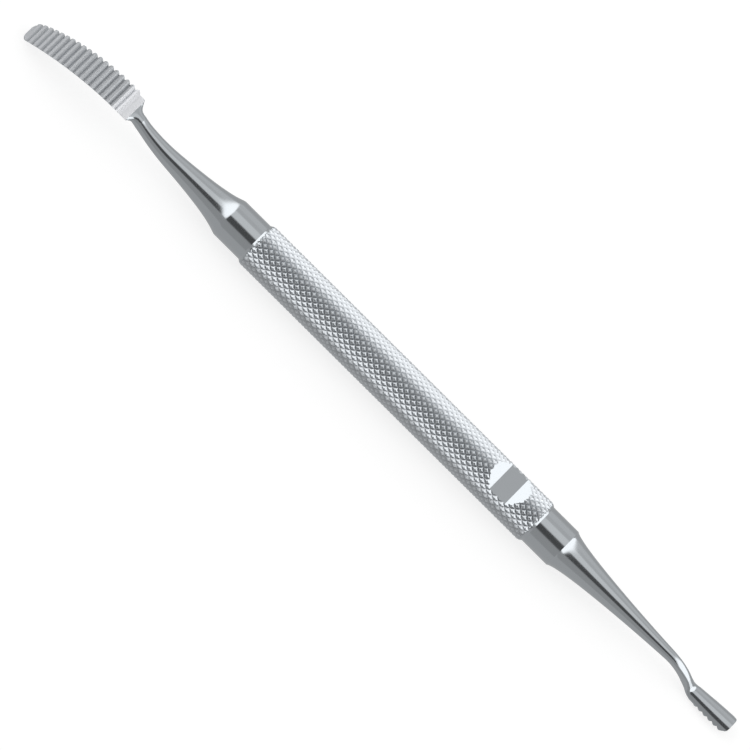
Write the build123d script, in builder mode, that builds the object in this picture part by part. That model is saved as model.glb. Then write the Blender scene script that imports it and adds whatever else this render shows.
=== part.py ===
from build123d import *
import math
import os

# A double-ended bone file, one piece of polished steel. A knurled grip runs along X, with its middle at
# the origin. The large file bends up at the -X end, with its teeth on top. The small file bends down at
# the +X end, with its teeth underneath. Every size is in millimetres or degrees.

# Grip and collars
grip_length = 70.5
grip_radius = 4.5
grip_chamfer_length = 0.7
collar_length = 6.1
collar_radius = 4.05

# Label flat, milled into the top of the grip near the small file
flat_depth = 1.75
flat_length = 3.8
flat_ramp_angle = 35.0
flat_from_grip_end = 8.6

# Large neck: a trumpet-shaped taper that rises to the large file
large_straight_length = 14.05
large_rise_radius = 22.5
large_rise_angle = 26.0
large_level_radius = 3.5
large_level_angle = 22.0
large_neck_radius = 1.3
large_flare_handle = 1.4
large_flare_angle = 9.0
large_taper_handle = 20.0
large_taper_angle = 3.2
large_slim_length = 2.0
large_shoulder_length = 1.8
large_shoulder_inset = 0.45
large_shoulder_power = 2.5

# Large file: a flat toothed face, curved along its length, over a rounded back
large_face_radius = 34.0
large_face_height = 1.6
large_base_half_width = 3.12
large_tip_half_width = 2.24
large_narrowing_power = 3.0
large_base_thickness = 2.2
large_tip_thickness = 1.4
large_corner_radius = 1.5
large_base_land = 1.4
large_tip_land = 0.5
large_tooth_count = 19
large_base_pitch = 1.3
large_tip_pitch = 1.18
large_base_depth = 0.6
large_tip_depth = 0.3

# Small neck: a longer taper that drops to the small file
small_straight_length = 26.4
small_drop_radius = 8.0
small_drop_angle = 39.0
small_drop_run = 2.0
small_level_radius = 2.2
small_neck_radius = 1.05
small_flare_handle = 2.4
small_flare_angle = 39.0
small_taper_handle = 4.2
small_taper_angle = 1.4
small_slim_length = 4.3
small_shoulder_length = 3.2
small_shoulder_inset = 0.1
small_shoulder_power = 1.2

# Small file: a short straight paddle with its toothed face down, tilted up a little towards its tip
small_tilt_angle = 4.0
small_face_drop = 0.3
small_base_half_width = 1.72
small_tip_half_width = 2.1
small_thickness = 1.25
small_corner_radius = 1.2
small_base_land = 0.97
small_base_land_depth = 0.15
small_tip_land = 0.76
small_tip_land_depth = 0.5
small_tooth_count = 6
small_tooth_pitch = 1.2
small_tooth_depth = 0.3

# Both ends
tooth_crest_width = 0.12
shoulder_step = 0.1
neck_stations = 14
slim_stations = 6
shoulder_stations = 6
file_stations = 8

# Side views: x runs outwards from the middle of the grip and y runs up
large_side = Plane(origin=(0, 0, 0), x_dir=(-1, 0, 0), z_dir=(0, 1, 0))
small_side = Plane(origin=(0, 0, 0), x_dir=(1, 0, 0), z_dir=(0, -1, 0))
collar_end = grip_length / 2 + collar_length


def cross_plane(path, side, distance):
    """The plane square to a path at a distance along it, with x across the tool and y up."""
    return Plane(
        origin=path.position_at(distance, position_mode=PositionMode.LENGTH),
        x_dir=-side.z_dir,
        z_dir=path.tangent_at(distance, position_mode=PositionMode.LENGTH),
    )


def side_plane(path, side, distance, height):
    """The plane of the side view at a distance along a path and a height above it, with x along the path."""
    place = path.position_at(distance, position_mode=PositionMode.LENGTH)
    tangent = path.tangent_at(distance, position_mode=PositionMode.LENGTH)
    return Plane(origin=place + side.z_dir.cross(tangent) * height, x_dir=tangent, z_dir=side.z_dir)


def lens(plane, half_width, side, top, bottom):
    """A section of two arcs that meet at its left and right edges, at the height given by side."""
    with BuildSketch(plane) as section:
        with BuildLine():
            ThreePointArc((-half_width, side), (0, bottom), (half_width, side))
            ThreePointArc((half_width, side), (0, top), (-half_width, side))
        make_face()
    return section.sketch.face()


def half_round(plane, half_width, face, back):
    """A section with a flat face at one height and an arc for its back."""
    with BuildSketch(plane) as section:
        with BuildLine():
            ThreePointArc((-half_width, face), (0, back), (half_width, face))
            Line((half_width, face), (-half_width, face))
        make_face()
    return section.sketch.face()


def taper(length, neck_radius, flare_handle, flare_angle, taper_handle, taper_angle):
    """The outline of a neck: x is the distance from the collar and y is the radius there."""
    flare = math.radians(flare_angle)
    run = math.radians(taper_angle)
    return Edge.make_bezier(
        (0, collar_radius),
        (flare_handle * math.cos(flare), collar_radius - flare_handle * math.sin(flare)),
        (length - taper_handle * math.cos(run), neck_radius + taper_handle * math.sin(run)),
        (length, neck_radius),
    )


def neck_sections(path, side, outline, neck_radius, end):
    """Round sections from the collar, along the taper, and on to the start of the shoulder."""
    stations = []
    for number in range(neck_stations + 1):
        point = outline.position_at(number / neck_stations)
        stations.append((point.X, point.Y))
    slim = stations[-1][0]
    for number in range(1, slim_stations + 1):
        stations.append((slim + (end - slim) * number / slim_stations, neck_radius))
    sections = []
    for distance, radius in stations:
        sections.append(lens(cross_plane(path, side, distance), radius, 0, radius, -radius))
    return sections


def shoulder_sections(path, side, start, length, power, neck_radius, half_width, edge, top, bottom):
    """Sections that flare out from the round neck to just inside the base of the file."""
    sections = []
    for number in range(shoulder_stations + 1):
        along = number / shoulder_stations
        spread = along**power
        sections.append(
            lens(
                cross_plane(path, side, start + length * along),
                neck_radius + (half_width - neck_radius) * spread,
                edge * spread,
                neck_radius + (top - neck_radius) * along,
                -neck_radius + (bottom + neck_radius) * spread,
            )
        )
    return sections


def tooth_waste(planes, rise, pitch, base_land, base_rise, tip_land, tip_rise):
    """The side view of what is cut away between the teeth, and over the plain land at each end.

    There is a plane at the foot of each tooth and one past the last, at the height of the bottom of the
    gap there. From there it is rise up to the crests at the base, base_rise to the land at the base and
    tip_rise to the one at the tip. The pitch is that of the teeth at the base.
    """
    slope = pitch - tooth_crest_width
    faces = []
    with BuildSketch(planes[0]) as waste:
        Polygon(
            (-base_land - shoulder_step, base_rise),
            (slope * base_rise / (2 * rise), base_rise),
            (slope, 2 * rise),
            (-base_land - shoulder_step, 2 * rise),
            align=None,
        )
    faces += waste.sketch.faces()
    with BuildSketch(*planes[1:-1]) as waste:
        Polygon((0, 0), (slope, 2 * rise), (-slope, 2 * rise), align=None)
    faces += waste.sketch.faces()
    with BuildSketch(planes[-1]) as waste:
        Polygon(
            (tip_land + shoulder_step, tip_rise),
            (-slope * tip_rise / (2 * rise), tip_rise),
            (-slope, 2 * rise),
            (tip_land + shoulder_step, 2 * rise),
            align=None,
        )
    faces += waste.sketch.faces()
    return faces


def tip_waste(path, side, half_width, radius):
    """The plan view of what is cut away to round the two corners at the tip of a file."""
    tangent = path.tangent_at(1)
    plane = Plane(origin=path.position_at(1), x_dir=tangent, z_dir=tangent.cross(side.z_dir))
    with BuildSketch(plane) as waste:
        with Locations((-radius, half_width - radius)):
            Rectangle(2 * radius, 2 * radius, align=(Align.MIN, Align.MIN))
            Circle(radius, mode=Mode.SUBTRACT)
        mirror(about=Plane.XZ)
    return waste.sketch.faces()


# Centre line of the large end, from the collar to the tip of the file
large_pitch = (large_base_pitch + large_tip_pitch) / 2
large_file_length = large_base_land + large_tooth_count * large_pitch + large_tip_land
with BuildLine(large_side) as large_line:
    large_run = Line((collar_end, 0), (collar_end + large_straight_length, 0))
    large_rise = JernArc(large_run @ 1, large_run % 1, large_rise_radius, large_rise_angle)
    large_level = JernArc(large_rise @ 1, large_rise % 1, large_level_radius, -large_level_angle)
    large_spine = JernArc(
        large_level @ 1,
        large_level % 1,
        large_face_radius - large_face_height,
        -math.degrees(large_file_length / large_face_radius),
    )
large_path = large_line.wire()
large_base = large_path.length - large_spine.length

# Centre line of the small end, from the collar to the tip of the file
small_file_length = small_base_land + small_tooth_count * small_tooth_pitch + small_tip_land
with BuildLine(small_side) as small_line:
    small_run = Line((collar_end, 0), (collar_end + small_straight_length, 0))
    small_drop = JernArc(small_run @ 1, small_run % 1, small_drop_radius, -small_drop_angle)
    small_slope = Line(small_drop @ 1, small_drop @ 1 + (small_drop % 1) * small_drop_run)
    small_turn = small_drop_angle + small_tilt_angle
    small_level = JernArc(small_slope @ 1, small_slope % 1, small_level_radius, small_turn)
    small_spine = Line(small_level @ 1, small_level @ 1 + (small_level % 1) * small_file_length)
small_path = small_line.wire()
small_base = small_path.length - small_spine.length

# Heights above each centre line
large_back = large_face_height - large_base_thickness
large_root = large_face_height - large_base_depth
small_back = small_thickness - small_face_drop
small_root = small_tooth_depth - small_face_drop

with BuildPart() as bone_file:
    # Grip and both collars, turned in one
    with BuildSketch(Plane.XZ):
        with BuildLine():
            Polyline(
                (-collar_end, 0),
                (-collar_end, collar_radius),
                (-grip_length / 2, collar_radius),
                (-grip_length / 2 + grip_chamfer_length, grip_radius),
                (grip_length / 2 - grip_chamfer_length, grip_radius),
                (grip_length / 2, collar_radius),
                (collar_end, collar_radius),
                (collar_end, 0),
                close=True,
            )
        make_face()
    revolve(axis=Axis.X)

    # Label flat with a ramp at each end
    ramp_run = flat_depth / math.tan(math.radians(flat_ramp_angle))
    with BuildSketch(Plane.XZ):
        with Locations((grip_length / 2 - flat_from_grip_end, grip_radius - flat_depth)):
            Polygon(
                (-flat_length / 2, 0),
                (flat_length / 2, 0),
                (flat_length / 2 + 2 * ramp_run, 2 * flat_depth),
                (-flat_length / 2 - 2 * ramp_run, 2 * flat_depth),
                align=None,
            )
    extrude(amount=2 * grip_radius, both=True, mode=Mode.SUBTRACT)

    # Large neck and its shoulder
    large_shoulder = large_base - large_shoulder_length
    large_outline = taper(
        large_shoulder - large_slim_length,
        large_neck_radius,
        large_flare_handle,
        large_flare_angle,
        large_taper_handle,
        large_taper_angle,
    )
    loft(neck_sections(large_path, large_side, large_outline, large_neck_radius, large_shoulder))
    loft(
        shoulder_sections(
            large_path,
            large_side,
            large_shoulder,
            large_shoulder_length,
            large_shoulder_power,
            large_neck_radius,
            large_base_half_width - large_shoulder_inset,
            large_root - 2 * shoulder_step,
            large_root - shoulder_step,
            large_back + shoulder_step,
        ),
        ruled=True,
    )

    # Small neck and its shoulder
    small_shoulder = small_base - small_shoulder_length
    small_outline = taper(
        small_shoulder - small_slim_length,
        small_neck_radius,
        small_flare_handle,
        small_flare_angle,
        small_taper_handle,
        small_taper_angle,
    )
    loft(neck_sections(small_path, small_side, small_outline, small_neck_radius, small_shoulder))
    loft(
        shoulder_sections(
            small_path,
            small_side,
            small_shoulder,
            small_shoulder_length,
            small_shoulder_power,
            small_neck_radius,
            small_base_half_width - small_shoulder_inset,
            2 * shoulder_step - small_face_drop,
            small_back - shoulder_step,
            shoulder_step - small_face_drop,
        ),
        ruled=True,
    )

    # Large file, before its teeth are cut
    large_sections = []
    for number in range(file_stations + 1):
        share = number / file_stations
        thinning = (large_base_thickness - large_tip_thickness) * share
        narrowing = (large_base_half_width - large_tip_half_width) * share**large_narrowing_power
        large_sections.append(
            half_round(
                cross_plane(large_path, large_side, large_base + share * large_spine.length),
                large_base_half_width - narrowing,
                large_face_height,
                large_back + thinning,
            )
        )
    loft(large_sections)

    # Small file, before its teeth are cut
    small_sections = []
    for number in range(file_stations + 1):
        share = number / file_stations
        widening = (small_tip_half_width - small_base_half_width) * math.sin(math.pi / 2 * share)
        small_sections.append(
            half_round(
                cross_plane(small_path, small_side, small_base + share * small_file_length),
                small_base_half_width + widening,
                -small_face_drop,
                small_back,
            )
        )
    loft(small_sections)

    # Teeth of the large file, straight across its face
    large_planes = []
    for number in range(large_tooth_count + 1):
        passed = number / large_tooth_count
        pitch = large_base_pitch + (large_pitch - large_base_pitch) * passed
        share = (large_base_land + number * pitch) / large_file_length
        height = large_root + (large_base_depth - large_tip_depth) * passed
        large_planes.append(
            side_plane(large_path, large_side, large_base + share * large_spine.length, height)
        )
    extrude(
        tooth_waste(large_planes, large_base_depth, large_base_pitch, large_base_land, 0, large_tip_land, 0),
        amount=2 * large_base_half_width,
        both=True,
        mode=Mode.SUBTRACT,
    )

    # Teeth of the small file, straight across its underside
    small_planes = []
    for number in range(small_tooth_count + 1):
        foot = small_base_land + number * small_tooth_pitch
        small_planes.append(side_plane(small_path, small_side, small_base + foot, small_root))
    extrude(
        tooth_waste(
            small_planes,
            -small_tooth_depth,
            small_tooth_pitch,
            small_base_land,
            small_base_land_depth - small_tooth_depth,
            small_tip_land,
            small_tip_land_depth - small_tooth_depth,
        ),
        amount=2 * small_base_half_width,
        both=True,
        mode=Mode.SUBTRACT,
    )

    # Rounded corners at both tips
    extrude(
        tip_waste(large_path, large_side, large_tip_half_width, large_corner_radius),
        amount=2 * large_base_thickness,
        both=True,
        mode=Mode.SUBTRACT,
    )
    extrude(
        tip_waste(small_path, small_side, small_tip_half_width, small_corner_radius),
        amount=2 * small_thickness,
        both=True,
        mode=Mode.SUBTRACT,
    )

bone_file.part.label = "bone_file"

os.makedirs("parts", exist_ok=True)
export_step(bone_file.part, "parts/bone_file.step")
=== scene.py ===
import math

import bmesh
import bpy
import numpy as np
from mathutils import Matrix, Vector


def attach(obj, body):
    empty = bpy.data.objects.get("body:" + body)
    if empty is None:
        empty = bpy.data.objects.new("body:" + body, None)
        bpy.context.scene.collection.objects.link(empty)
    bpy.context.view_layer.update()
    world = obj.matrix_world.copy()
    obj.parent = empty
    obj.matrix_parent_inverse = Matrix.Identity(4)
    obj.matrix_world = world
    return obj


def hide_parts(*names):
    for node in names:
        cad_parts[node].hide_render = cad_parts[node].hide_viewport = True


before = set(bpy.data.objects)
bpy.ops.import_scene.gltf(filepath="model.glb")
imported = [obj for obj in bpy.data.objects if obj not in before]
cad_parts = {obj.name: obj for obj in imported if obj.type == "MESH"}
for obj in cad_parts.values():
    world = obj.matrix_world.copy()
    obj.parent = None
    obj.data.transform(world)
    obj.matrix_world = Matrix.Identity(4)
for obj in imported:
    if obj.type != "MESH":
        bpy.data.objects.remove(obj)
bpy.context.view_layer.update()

# Sizes are in millimetres and angles in degrees, and each mesh is scaled to metres as it is made. The
# tool's sizes are those of its solid. Only the knurl and the eased teeth are added here
MM = 0.001


def arc(radius, turn):
    """A piece of a centre line, as its length and how far it turns up, that bends on a radius."""
    return (radius * math.radians(abs(turn)), turn)


# Grip and collars
grip_length = 70.5
grip_radius = 4.5
grip_chamfer_length = 0.7
chamfer_start = grip_length / 2 - grip_chamfer_length
collar_length = 6.1
collar_radius = 4.05
collar_end = grip_length / 2 + collar_length

# Label flat
flat_depth = 1.75
flat_length = 3.8
flat_ramp_angle = 35.0
flat_from_grip_end = 8.6

# Knurl: diamonds left between two sets of crossing spiral grooves
knurl_starts = 22
knurl_period = 1.52
knurl_depth = 0.3
knurl_slope_share = 0.72

# Both ends: the side that an end is on, which way its toothed face looks, its centre line from the collar
# to the file, its neck, the shoulder between neck and file, and the file
tooth_crest_width = 0.12
tooth_ease = 0.12
shoulder_step = 0.1
large = {
    "side": -1,
    "face": 1,
    "line": [(14.05, 0), arc(22.5, 26.0), arc(3.5, -22.0)],
    "neck_radius": 1.3,
    "flare_handle": 1.4,
    "flare_angle": 9.0,
    "taper_handle": 20.0,
    "taper_angle": 3.2,
    "slim_length": 2.0,
    "shoulder_length": 1.8,
    "shoulder_inset": 0.45,
    "shoulder_power": 2.5,
    "shoulder_drop": 0.6,
    "face_radius": 34.0,
    "face_height": 1.6,
    "base_half_width": 3.12,
    "tip_half_width": 2.24,
    "width_law": lambda share: share**3,
    "base_thickness": 2.2,
    "tip_thickness": 1.4,
    "corner_radius": 1.5,
    "blasted_length": 3.4,
    "base_land": 1.4,
    "base_land_depth": 0.6,
    "tip_land": 0.5,
    "tip_land_depth": 0.3,
    "tooth_count": 19,
    "base_pitch": 1.3,
    "tip_pitch": 1.18,
    "base_depth": 0.6,
    "tip_depth": 0.3,
}
small = {
    "side": 1,
    "face": -1,
    "line": [(26.4, 0), arc(8.0, -39.0), (2.0, 0), arc(2.2, 43.0)],
    "neck_radius": 1.05,
    "flare_handle": 2.4,
    "flare_angle": 39.0,
    "taper_handle": 4.2,
    "taper_angle": 1.4,
    "slim_length": 4.3,
    "shoulder_length": 3.2,
    "shoulder_inset": 0.1,
    "shoulder_power": 1.2,
    "shoulder_drop": 0.0,
    "face_radius": None,
    "face_height": 0.3,
    "base_half_width": 1.72,
    "tip_half_width": 2.1,
    "width_law": lambda share: math.sin(math.pi / 2 * share),
    "base_thickness": 1.25,
    "tip_thickness": 1.25,
    "corner_radius": 1.2,
    "blasted_length": 0.97,
    "base_land": 0.97,
    "base_land_depth": 0.15,
    "tip_land": 0.76,
    "tip_land_depth": 0.5,
    "tooth_count": 6,
    "base_pitch": 1.2,
    "tip_pitch": 1.2,
    "base_depth": 0.3,
    "tip_depth": 0.3,
}

# How finely the meshes are divided
arc_parts = 32
neck_parts = 70
shoulder_parts = 16
file_parts = 150
corner_parts = 12
chamfer_lines = 6
neck_spacing = 0.2
least_spacing = 0.02
collar_edge = 0.05
weld_distance = 0.002

# Edges sharper than this are creases: on every mesh as it is made, and on the grip once its flat is milled
crease_angle = 25.0
milled_crease_angle = 20.0

# A tooth face is ground where it rises towards the tip by more than the least rise from one section to the
# next. The knurl is worn where it lies below the full radius by less than the crest tolerance
least_rise = 0.001
crest_tolerance = 0.003

# The photograph's view: from above the tool, rolled towards its front, with the tool from corner to corner
view_roll = 28.0
view_turn = 44.8
view_target = (-3.68, -1.43, -0.76)
view_distance = 2400.0
view_width = 132.35
sensor_width = 36.0

# The studio round the tool. Each card has its lowest and highest angle across the tool, counted from the
# camera, its nearest and farthest angle along the tool, counted from the tool's middle to both sides, and
# its brightness: a grey card in front, a dark opening round the camera, three bright cards from above to
# behind, and a very bright box at each end of the tool. A card without a near edge runs through the middle.
# Between the cards the studio is pale. Below an angle across the tool the edges along it lean outward
no_near_edge = -60.0
end_box_edge = 31.8
pale_level = 0.54
studio_cards = [
    (-100.0, -20.0, no_near_edge, 100.0, 0.4),
    (-20.0, 14.0, no_near_edge, end_box_edge, 0.09),
    (14.0, 51.0, no_near_edge, end_box_edge, 0.82),
    (51.0, 71.0, no_near_edge, end_box_edge, 0.6),
    (71.0, 106.0, no_near_edge, end_box_edge, 0.67),
    (-20.0, 106.0, end_box_edge, 80.0, 1.65),
]
card_blur = 4.0
card_lean = 0.17
card_lean_from = 40.0

# The tent that carries the cards: near enough that each end of the tool mirrors the end boxes from its own
# place, as in the photograph
tent_radius = 273.0
tent_reach = 1600.0
tent_parts = 128

# The floor, and the grey card that lies on it
floor_reach = 3000.0
floor_albedo = 0.3
floor_glow = 0.78
under_card_reach = 2500.0
under_card_height = 0.05
under_card_level = 0.5

# The steel's finishes: polished, knurled with worn crests and painted shade darkening its grooves, cut
# where teeth face the tip, ground where they face the handle, and blasted from the base over the first
# teeth. Each has its name, its colour, how metallic and how rough it is, how many features its grain has in
# a metre along, across and up, and the grain's strength
polished, knurled, worn, cut, ground, blasted = range(6)
finishes = {
    polished: ("polished_steel", (0.545, 0.575, 0.6), 1.0, 0.14, (4000, 300, 300), 0.08),
    knurled: ("knurled_steel", (0.68, 0.71, 0.74), 1.0, 0.31, (3000, 3000, 3000), 0.2),
    worn: ("worn_steel", (0.66, 0.69, 0.72), 1.0, 0.24, (3000, 3000, 3000), 0.1),
    cut: ("cut_steel", (0.45, 0.465, 0.485), 0.4, 0.5, (2500, 400, 2500), 0.4),
    ground: ("ground_steel", (0.49, 0.51, 0.53), 0.5, 0.4, (2500, 400, 2500), 0.25),
    blasted: ("blasted_steel", (0.78, 0.79, 0.81), 0.8, 0.65, (6000, 6000, 6000), 0.3),
}
grain_detail = 3.0
grain_distance = 0.02
# How dark the painted shade at the bottom of the knurl's grooves is, as a share of the knurl's colour
painted_groove_shade = 0.68


def follow(line, distance):
    """How far out, how high and how steep a centre line is at a distance along it from the collar."""
    out = collar_end
    up = 0.0
    slope = 0.0
    for length, turn in line:
        step = min(distance, length)
        if turn:
            bend = math.radians(turn) / length
            out += (math.sin(slope + bend * step) - math.sin(slope)) / bend
            up += (math.cos(slope) - math.cos(slope + bend * step)) / bend
            slope += bend * step
        else:
            out += step * math.cos(slope)
            up += step * math.sin(slope)
        distance -= step
        if distance <= 0:
            break
    return out, up, slope


def bow(half_width, edge, middle, level=None, trim=None):
    """The points of an arc from left to right through its middle.

    Where level is given, the arc stops at that height. Where trim is given, it stops at that half-width.
    """
    rise = edge - middle
    radius = (half_width**2 + rise**2) / (2 * abs(rise))
    widest = 2 * math.atan2(abs(rise), half_width)
    if level is not None:
        widest = min(widest, math.acos(1 - (level - middle) / radius))
    if trim is not None and trim < half_width:
        widest = min(widest, math.asin(trim / radius))
    way = math.copysign(1, rise)
    angles = np.linspace(-widest, widest, arc_parts + 1)
    return [(radius * math.sin(a), middle + way * radius * (1 - math.cos(a))) for a in angles]


def lens(half_width, edge, top, bottom):
    """A section of two arcs that meet at its left and right edges: underside, then top back again."""
    return bow(half_width, edge, bottom) + bow(half_width, edge, top)[::-1]


def half_round(half_width, face, back, level, trim, way):
    """A section with an arc for its back and a face cut flat at a level, turned over where way is -1."""
    round_side = bow(half_width, face, back, level, trim)
    reach = round_side[-1][0]
    flat_side = [(across, level) for across in np.linspace(reach, -reach, arc_parts + 1)]
    if way > 0:
        return round_side + flat_side
    return [(across, -height) for across, height in flat_side[::-1] + round_side[::-1]]


def place(end, line, distance, points):
    """The points of a cross section set square to an end's centre line."""
    out, up, slope = follow(line, distance)
    placed = []
    for across, height in points:
        x = end["side"] * (out - height * math.sin(slope))
        z = up + height * math.cos(slope)
        placed.append((x * MM, across * MM, z * MM))
    return placed


def taper(end, length):
    """Distances from the collar, and the radius at each, along the curved outline of a neck."""
    flare = math.radians(end["flare_angle"])
    run = math.radians(end["taper_angle"])
    flare_handle = end["flare_handle"]
    taper_handle = end["taper_handle"]
    neck_radius = end["neck_radius"]
    handles = np.array(
        [
            (0, collar_radius),
            (flare_handle * math.cos(flare), collar_radius - flare_handle * math.sin(flare)),
            (length - taper_handle * math.cos(run), neck_radius + taper_handle * math.sin(run)),
            (length, neck_radius),
        ]
    )
    share = np.linspace(0, 1, neck_parts)[:, None]
    rest = 1 - share
    weights = np.hstack([rest**3, 3 * rest**2 * share, 3 * rest * share**2, share**3])
    return [tuple(row) for row in weights @ handles]


def neck_rings(end, line, reach):
    """Round sections from inside the grip, over the collar, along the taper and up to the shoulder."""
    slim = reach - end["slim_length"]
    count = round(end["slim_length"] / neck_spacing)
    stations = [(-collar_length - grip_chamfer_length, collar_radius), (-collar_edge, collar_radius)]
    stations += taper(end, slim)
    stations += [(slim + end["slim_length"] * k / count, end["neck_radius"]) for k in range(1, count)]
    return [place(end, line, distance, lens(r, 0, r, -r)) for distance, r in stations]


def shoulder_rings(end, line, start):
    """Sections that flare out from the round neck to just inside the base of the file."""
    neck_radius = end["neck_radius"]
    face = end["face"]
    toothed = face * (end["face_height"] - end["shoulder_drop"] - shoulder_step)
    back = face * (end["face_height"] - end["base_thickness"] + shoulder_step)
    edge = toothed - face * shoulder_step
    top = max(toothed, back)
    bottom = min(toothed, back)
    half_width = end["base_half_width"] - end["shoulder_inset"]
    rings = []
    for number in range(shoulder_parts + 1):
        along = number / shoulder_parts
        spread = along ** end["shoulder_power"]
        points = lens(
            neck_radius + (half_width - neck_radius) * spread,
            edge * spread,
            neck_radius + (top - neck_radius) * along,
            -neck_radius + (bottom + neck_radius) * spread,
        )
        rings.append(place(end, line, start + end["shoulder_length"] * along, points))
    return rings


def file_length(end):
    """The length of a file along its crests."""
    pitch = (end["base_pitch"] + end["tip_pitch"]) / 2
    return end["base_land"] + end["tooth_count"] * pitch + end["tip_land"]


def tooth_profile(end):
    """Distances along a file and the depth below its crests at each, from its base to its tip."""
    count = end["tooth_count"]
    profile = [(0, end["base_land_depth"])]
    for number in range(count + 1):
        passed = number / count
        pitch = end["base_pitch"] + (end["tip_pitch"] - end["base_pitch"]) / 2 * passed
        foot = end["base_land"] + number * pitch
        depth = end["base_depth"] + (end["tip_depth"] - end["base_depth"]) * passed
        half_gap = (end["base_pitch"] - tooth_crest_width) / 2 * depth / end["base_depth"]
        bulge = (half_gap / 2, depth * (0.5 - tooth_ease))
        if number == 0:
            land = end["base_land_depth"]
            profile += [(foot + half_gap * (1 - land / depth), land), (foot + half_gap, 0)]
        elif number < count:
            profile += [(foot - half_gap, 0), (foot - bulge[0], bulge[1]), (foot, depth)]
            profile += [(foot + bulge[0], bulge[1]), (foot + half_gap, 0)]
        else:
            land = end["tip_land_depth"]
            profile += [(foot - half_gap, 0), (foot - half_gap * (1 - land / depth), land)]
            profile.append((file_length(end), land))
    return profile


def file_stations(end):
    """Distances along a file for its sections, at every edge of its teeth and finely between them."""
    length = file_length(end)
    edges = [distance for distance, _ in tooth_profile(end)]
    between = [length * k / file_parts for k in range(file_parts)]
    for angle in np.linspace(0, math.pi / 2, corner_parts, endpoint=False):
        between.append(length - end["corner_radius"] * (1 - math.sin(angle)))
    spaced = [s for s in between if min(abs(s - edge) for edge in edges) > least_spacing]
    return sorted(set(edges + spaced))


def file_rings(end, line, base, spine_length):
    """Sections of a file with its teeth, its lands and the rounded corners at its tip."""
    length = file_length(end)
    distances, depths = zip(*tooth_profile(end))
    face = end["face_height"]
    radius = end["corner_radius"]
    rings = []
    for distance in file_stations(end):
        share = distance / length
        widening = (end["tip_half_width"] - end["base_half_width"]) * end["width_law"](share)
        thickness = end["base_thickness"] + (end["tip_thickness"] - end["base_thickness"]) * share
        into_corner = max(0, radius - (length - distance))
        trim = end["tip_half_width"] - radius + math.sqrt(radius**2 - into_corner**2)
        points = half_round(
            end["base_half_width"] + widening,
            face,
            face - thickness,
            face - np.interp(distance, distances, depths),
            trim if into_corner else None,
            end["face"],
        )
        rings.append(place(end, line, base + spine_length * share, points))
    return rings


def file_finishes(end):
    """The finish of the toothed face between each section and the next."""
    distances, depths = zip(*tooth_profile(end))
    stations = file_stations(end)
    found = []
    for near, far in zip(stations, stations[1:]):
        rise = np.interp(near, distances, depths) - np.interp(far, distances, depths)
        if far <= end["blasted_length"]:
            found.append(blasted)
        else:
            found.append(ground if rise > least_rise else cut)
    return found


def mesh_object(name, vertices, faces, face_finishes=None):
    """A mesh piece with smooth faces and creases, of steel where its faces are given their finishes."""
    mesh = bpy.data.meshes.new(name)
    mesh.from_pydata(vertices, [], faces)
    if face_finishes:
        for number in finishes:
            mesh.materials.append(steel(number))
        mesh.polygons.foreach_set("material_index", face_finishes)
    clean = bmesh.new()
    clean.from_mesh(mesh)
    bmesh.ops.remove_doubles(clean, verts=clean.verts, dist=weld_distance * MM)
    bmesh.ops.recalc_face_normals(clean, faces=clean.faces)
    clean.to_mesh(mesh)
    clean.free()
    smooth_with_creases(mesh, crease_angle)
    piece = bpy.data.objects.new(name, mesh)
    bpy.context.scene.collection.objects.link(piece)
    return piece


def smooth_with_creases(mesh, limit):
    """Shade a mesh smooth, apart from edges sharper than an angle."""
    mesh.polygons.foreach_set("use_smooth", [True] * len(mesh.polygons))
    mesh.set_sharp_from_angle(angle=math.radians(limit))


def skin(name, rings, ring_finishes, toothed):
    """A closed skin over a run of rings that all have the same number of points.

    The points in the span called toothed take the finish listed for their ring, and the rest is polished.
    """
    around = len(rings[0])
    vertices = [point for ring in rings for point in ring]
    faces = [tuple(range(around))]
    face_finishes = [polished]
    for number in range(len(rings) - 1):
        start = number * around
        for k in range(around):
            after = (k + 1) % around
            faces.append((start + k, start + after, start + around + after, start + around + k))
            face_finishes.append(ring_finishes[number] if k in toothed else polished)
    last = (len(rings) - 1) * around
    faces.append(tuple(range(last, last + around)))
    face_finishes.append(polished)
    return mesh_object(name, vertices, faces, face_finishes)


def tool_end(name, end):
    """One end of the tool: its collar, neck, shoulder and file."""
    length = file_length(end)
    line = list(end["line"])
    base = sum(run for run, _ in line)
    if end["face_radius"]:
        line.append(arc(end["face_radius"] - end["face_height"], -math.degrees(length / end["face_radius"])))
    else:
        line.append((length, 0))
    shoulder = base - end["shoulder_length"]
    rings = neck_rings(end, line, shoulder)
    rings += shoulder_rings(end, line, shoulder)
    ring_finishes = [polished] * len(rings) + file_finishes(end)
    rings += file_rings(end, line, base, line[-1][0])
    first = arc_parts + 1 if end["face"] > 0 else 0
    return skin(name, rings, ring_finishes, range(first, first + arc_parts))


def knurl_radius(x, angle):
    """The radius of the grip's surface at places along it and angles round it."""
    turns = knurl_starts * angle / (2 * math.pi)
    lead = x / knurl_period
    from_right_groove = np.abs((turns + lead + 0.5) % 1 - 0.5)
    from_left_groove = np.abs((turns - lead + 0.5) % 1 - 0.5)
    from_groove = 2 * np.minimum(from_right_groove, from_left_groove)
    knurl = grip_radius - knurl_depth * np.clip(1 - from_groove / knurl_slope_share, 0, 1)
    from_end = (grip_length / 2 - np.abs(x)) / grip_chamfer_length
    return np.minimum(knurl, collar_radius + (grip_radius - collar_radius) * from_end)


def knurl_lines(count):
    """Mesh lines through the crests, the crest edges and the groove crossings of diamonds in a row.

    They are counted in diamonds, from the middle of one.
    """
    edge = (1 - knurl_slope_share) / 2
    return np.array([k / 2 + shift for k in range(2 * count) for shift in (0, edge, 0.5 - edge)])


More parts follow.
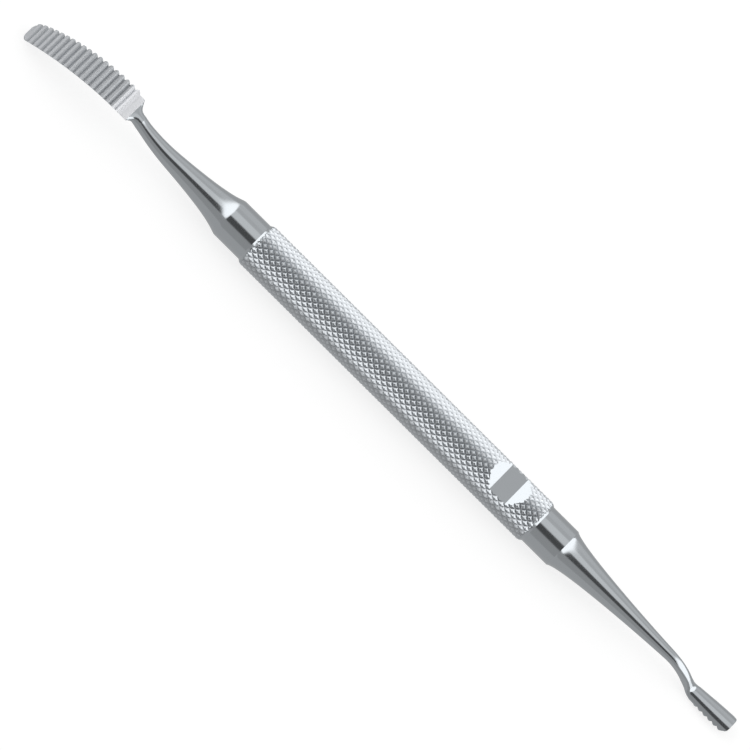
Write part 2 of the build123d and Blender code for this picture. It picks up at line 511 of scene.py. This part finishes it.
def grip_stations():
    """Places along the grip for its mesh: the knurl's lines, and a few lines down each chamfer."""
    chamfer = np.linspace(chamfer_start, grip_length / 2, chamfer_lines)
    half_rows = knurl_lines(math.ceil(chamfer_start / knurl_period)) * knurl_period
    half_rows = half_rows[half_rows < chamfer_start - least_spacing]
    return np.concatenate([-chamfer[::-1], -half_rows[:0:-1], half_rows, chamfer])


def grip_finish(x, corner_radii):
    """The finish of a small face of the grip, from its place along it and the radius at its corners."""
    if abs(x) > chamfer_start:
        return polished
    if min(corner_radii) > grip_radius - crest_tolerance:
        return worn
    return knurled


def knurled_grip():
    """The grip with its knurl, its chamfered ends and its label flat.

    The mesh's columns and rows match the diamonds, so that every groove and crest follows its edges.
    """
    stations = grip_stations()
    angles = knurl_lines(knurl_starts) / knurl_starts * 2 * math.pi
    columns = len(angles)
    x, angle = np.meshgrid(stations, angles, indexing="ij")
    radius = knurl_radius(x, angle)
    vertices = np.stack([x, radius * np.cos(angle), radius * np.sin(angle)], axis=-1) * MM
    middle_x, middle_angle = np.meshgrid(
        (stations[:-1] + stations[1:]) / 2,
        (angles + np.append(angles[1:], 2 * math.pi)) / 2,
        indexing="ij",
    )
    middle = knurl_radius(middle_x, middle_angle)
    beside = np.roll(radius, -1, axis=1)
    rising_fits = np.abs((radius[:-1] + beside[1:]) / 2 - middle)
    falling_fits = np.abs((radius[1:] + beside[:-1]) / 2 - middle)
    faces = [tuple(range(columns)), tuple(range((len(stations) - 1) * columns, len(stations) * columns))]
    face_finishes = [polished, polished]
    for i in range(len(stations) - 1):
        for j in range(columns):
            a = i * columns + j
            b = i * columns + (j + 1) % columns
            c = b + columns
            d = a + columns
            if rising_fits[i, j] <= falling_fits[i, j]:
                halves = [(a, b, c), (a, c, d)]
            else:
                halves = [(a, b, d), (b, c, d)]
            faces += halves
            for half in halves:
                corner_radii = [radius.flat[corner] for corner in half]
                face_finishes.append(grip_finish(middle_x[i, j], corner_radii))
    grip = mesh_object("knurled_grip", vertices.reshape(-1, 3).tolist(), faces, face_finishes)
    mill_label_flat(grip)
    return grip


def mill_label_flat(grip):
    """Cut the label flat and its two ramps into the grip."""
    ramp_run = flat_depth / math.tan(math.radians(flat_ramp_angle))
    centre = grip_length / 2 - flat_from_grip_end
    low = grip_radius - flat_depth
    outline = [
        (centre - flat_length / 2, low),
        (centre + flat_length / 2, low),
        (centre + flat_length / 2 + 2 * ramp_run, low + 2 * flat_depth),
        (centre - flat_length / 2 - 2 * ramp_run, low + 2 * flat_depth),
    ]
    vertices = []
    for across in (-2 * grip_radius, 2 * grip_radius):
        vertices += [(x * MM, across * MM, z * MM) for x, z in outline]
    faces = [(0, 1, 2, 3), (7, 6, 5, 4), (0, 4, 5, 1), (1, 5, 6, 2), (2, 6, 7, 3), (3, 7, 4, 0)]
    cutter = mesh_object("label_flat_cutter", vertices, faces, [polished] * len(faces))
    milling = grip.modifiers.new("label_flat", "BOOLEAN")
    milling.operation = "DIFFERENCE"
    milling.solver = "EXACT"
    milling.object = cutter
    bpy.context.view_layer.update()
    milled = bpy.data.meshes.new_from_object(grip.evaluated_get(bpy.context.evaluated_depsgraph_get()))
    grip.modifiers.clear()
    grip.data = milled
    bpy.data.objects.remove(cutter)
    smooth_with_creases(milled, milled_crease_angle)


def steel(number):
    """One of the steel's finishes: its colour, its gloss and the fine grain left by its making."""
    name, colour, metallic, roughness, grain_scale, grain_strength = finishes[number]
    material = bpy.data.materials.get(name)
    if material:
        return material
    material = bpy.data.materials.new(name)
    material.use_nodes = True
    tree = material.node_tree
    shader = tree.nodes["Principled BSDF"]
    shader.inputs["Base Color"].default_value = (*colour, 1)
    shader.inputs["Metallic"].default_value = metallic
    shader.inputs["Roughness"].default_value = roughness
    coordinates = tree.nodes.new("ShaderNodeTexCoord")
    stretch = tree.nodes.new("ShaderNodeMapping")
    stretch.inputs["Scale"].default_value = grain_scale
    grain = tree.nodes.new("ShaderNodeTexNoise")
    grain.inputs["Scale"].default_value = 1.0
    grain.inputs["Detail"].default_value = grain_detail
    bump = tree.nodes.new("ShaderNodeBump")
    bump.inputs["Strength"].default_value = grain_strength
    bump.inputs["Distance"].default_value = grain_distance * MM
    tree.links.new(coordinates.outputs["Object"], stretch.inputs["Vector"])
    tree.links.new(stretch.outputs["Vector"], grain.inputs["Vector"])
    tree.links.new(grain.outputs["Fac"], bump.inputs["Height"])
    tree.links.new(bump.outputs["Normal"], shader.inputs["Normal"])
    # The knurl's colour gets painted shade that darkens it towards the bottom of its grooves
    if number == knurled:
        paint_groove_shade(tree, coordinates.outputs["Object"], colour, shader.inputs["Base Color"])
    return material


def paint_groove_shade(tree, place_socket, colour, colour_socket):
    """A colour with painted shade, darkening from the knurl's crests to the bottom of its grooves."""
    from_axis = tree.nodes.new("ShaderNodeVectorMath")
    from_axis.operation = "MULTIPLY"
    from_axis.inputs[1].default_value = (0, 1, 1)
    radius = tree.nodes.new("ShaderNodeVectorMath")
    radius.operation = "LENGTH"
    # The painted shade: full colour at the crests, darker towards the bottom of the grooves
    shade = tree.nodes.new("ShaderNodeMapRange")
    shade.inputs["From Min"].default_value = (grip_radius - knurl_depth) * MM
    shade.inputs["From Max"].default_value = grip_radius * MM
    shade.inputs["To Min"].default_value = painted_groove_shade
    shade.inputs["To Max"].default_value = 1.0
    shaded = tree.nodes.new("ShaderNodeVectorMath")
    shaded.operation = "SCALE"
    shaded.inputs[0].default_value = colour
    tree.links.new(place_socket, from_axis.inputs[0])
    tree.links.new(from_axis.outputs["Vector"], radius.inputs[0])
    tree.links.new(radius.outputs["Value"], shade.inputs["Value"])
    tree.links.new(shade.outputs["Result"], shaded.inputs["Scale"])
    tree.links.new(shaded.outputs["Vector"], colour_socket)


roll = math.radians(view_roll)
view_back = Vector((0, -math.sin(roll), math.cos(roll)))
along_tool = Vector((1, 0, 0))
across_tool = Vector((0, math.cos(roll), math.sin(roll)))


def add_camera():
    """The camera, at the photograph's viewing angle."""
    turn = math.radians(view_turn)
    right = along_tool * math.cos(turn) + across_tool * math.sin(turn)
    data = bpy.data.cameras.new("camera")
    data.sensor_width = sensor_width
    data.lens = sensor_width * view_distance / view_width
    camera = bpy.data.objects.new("camera", data)
    bpy.context.scene.collection.objects.link(camera)
    turned = Matrix((right, view_back.cross(right), view_back)).transposed().to_4x4()
    spot = Vector(view_target) + view_back * view_distance
    camera.matrix_world = Matrix.Translation(spot * MM) @ turned
    bpy.context.scene.camera = camera


def math_node(tree, operation, first, second=None):
    """A math node fed by sockets or numbers."""
    node = tree.nodes.new("ShaderNodeMath")
    node.operation = operation
    for socket, value in zip(node.inputs, (first, second)):
        if isinstance(value, (int, float)):
            socket.default_value = value
        elif value is not None:
            tree.links.new(value, socket)
    return node.outputs[0]


def step_node(tree, angle, limit, before, after):
    """A soft step from one value to another where an angle passes a limit in degrees."""
    node = tree.nodes.new("ShaderNodeMapRange")
    node.interpolation_type = "SMOOTHSTEP"
    node.inputs["From Min"].default_value = math.radians(limit - card_blur)
    node.inputs["From Max"].default_value = math.radians(limit + card_blur)
    node.inputs["To Min"].default_value = before
    node.inputs["To Max"].default_value = after
    tree.links.new(angle, node.inputs["Value"])
    return node.outputs[0]


def card_levels(tree, toward, to_angle):
    """The brightness of the studio's cards at a direction or a place round the tool.

    to_angle turns its part along the tool into an angle.
    """
    parts = []
    for axis in (along_tool, across_tool, view_back):
        dot = tree.nodes.new("ShaderNodeVectorMath")
        dot.operation = "DOT_PRODUCT"
        dot.inputs[1].default_value = axis
        tree.links.new(toward, dot.inputs[0])
        parts.append(dot.outputs["Value"])
    across = math_node(tree, "ARCTAN2", parts[1], parts[2])
    along = math_node(tree, "ABSOLUTE", to_angle(parts[0]))
    below = math_node(tree, "SUBTRACT", math.radians(card_lean_from), across)
    lean = math_node(tree, "MULTIPLY", math_node(tree, "MAXIMUM", below, 0), card_lean)
    along = math_node(tree, "SUBTRACT", along, lean)
    level = pale_level
    for low, high, near, far, brightness in studio_cards:
        covered = step_node(tree, across, low, 0, 1)
        covered = math_node(tree, "MULTIPLY", covered, step_node(tree, across, high, 1, 0))
        covered = math_node(tree, "MULTIPLY", covered, step_node(tree, along, near, 0, 1))
        covered = math_node(tree, "MULTIPLY", covered, step_node(tree, along, far, 1, 0))
        change = math_node(tree, "SUBTRACT", brightness, level)
        level = math_node(tree, "ADD", math_node(tree, "MULTIPLY", covered, change), level)
    return level


def stage_material(name):
    """A plain material of its own for a piece of the stage."""
    material = bpy.data.materials.new(name)
    material.use_nodes = True
    return material


def light_only(shader):
    """Make a surface black and dull, apart from the white light that it gives off."""
    shader.inputs["Base Color"].default_value = (0, 0, 0, 1)
    shader.inputs["Specular IOR Level"].default_value = 0.0
    shader.inputs["Emission Color"].default_value = (1, 1, 1, 1)


def show_in_reflections_only(piece):
    """Hide a piece of the stage from everything but reflections."""
    piece.visible_camera = False
    piece.visible_diffuse = False
    piece.visible_shadow = False
    piece.visible_transmission = False


def flat_sheet(name, low, high, height):
    """A level rectangle that belongs to the stage, from its low corner to its high one."""
    corners = [(low[0], low[1]), (high[0], low[1]), (high[0], high[1]), (low[0], high[1])]
    sheet = mesh_object(name, [(x * MM, y * MM, height * MM) for x, y in corners], [(0, 1, 2, 3)])
    sheet.data.materials.append(stage_material(name))
    return sheet


def add_floor():
    """A wide white floor under the tool, which still shows the tool's shadow."""
    reach = floor_reach
    floor = flat_sheet("floor", (-reach, -reach), (reach, reach), -grip_radius)
    tree = floor.data.materials[0].node_tree
    shader = tree.nodes["Principled BSDF"]
    shader.inputs["Base Color"].default_value = (floor_albedo, floor_albedo, floor_albedo, 1)
    shader.inputs["Roughness"].default_value = 1.0
    shader.inputs["Specular IOR Level"].default_value = 0.0
    shader.inputs["Emission Color"].default_value = (1, 1, 1, 1)
    path = tree.nodes.new("ShaderNodeLightPath")
    seen = math_node(tree, "MAXIMUM", path.outputs["Is Camera Ray"], path.outputs["Is Glossy Ray"])
    seen = math_node(tree, "MAXIMUM", seen, path.outputs["Is Transmission Ray"])
    glow = math_node(tree, "MULTIPLY", seen, floor_glow)
    tree.links.new(glow, shader.inputs["Emission Strength"])


def add_under_card():
    """A grey card that lies under the tool and shows only in its reflections."""
    reach = under_card_reach
    card = flat_sheet("under_card", (-reach, -reach), (reach, reach), -grip_radius + under_card_height)
    shader = card.data.materials[0].node_tree.nodes["Principled BSDF"]
    light_only(shader)
    shader.inputs["Emission Strength"].default_value = under_card_level
    show_in_reflections_only(card)


def add_tent():
    """A round tent about the tool that carries the cards and shows only in the tool's reflections."""
    turns = [2 * math.pi * k / tent_parts for k in range(tent_parts)]
    vertices = []
    for x in (-tent_reach, tent_reach):
        vertices += [(x * MM, tent_radius * math.sin(a) * MM, tent_radius * math.cos(a) * MM) for a in turns]
    faces = []
    for k in range(tent_parts):
        after = (k + 1) % tent_parts
        faces.append((k, after, tent_parts + after, tent_parts + k))
    tent = mesh_object("tent", vertices, faces)
    tent.data.materials.append(stage_material("tent"))
    tree = tent.data.materials[0].node_tree
    shader = tree.nodes["Principled BSDF"]
    light_only(shader)
    position = tree.nodes.new("ShaderNodeTexCoord").outputs["Object"]

    def to_angle(along):
        return math_node(tree, "ARCTANGENT", math_node(tree, "DIVIDE", along, tent_radius * MM))

    tree.links.new(card_levels(tree, position, to_angle), shader.inputs["Emission Strength"])
    show_in_reflections_only(tent)


def add_world():
    """The same cards by their directions alone, for diffuse light and what shows past the tent's ends."""
    world = bpy.data.worlds.new("studio")
    bpy.context.scene.world = world
    world.use_nodes = True
    tree = world.node_tree
    direction = tree.nodes.new("ShaderNodeTexCoord").outputs["Generated"]
    level = card_levels(tree, direction, lambda along: math_node(tree, "ARCSINE", along))
    tree.links.new(level, tree.nodes["Background"].inputs["Strength"])
    tree.nodes["Background"].inputs["Color"].default_value = (1, 1, 1, 1)


for piece in (knurled_grip(), tool_end("large_end", large), tool_end("small_end", small)):
    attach(piece, "root")
    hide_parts("bone_file")

add_camera()
add_floor()
add_under_card()
add_tent()
add_world()
bpy.context.scene.view_settings.view_transform = "Standard"
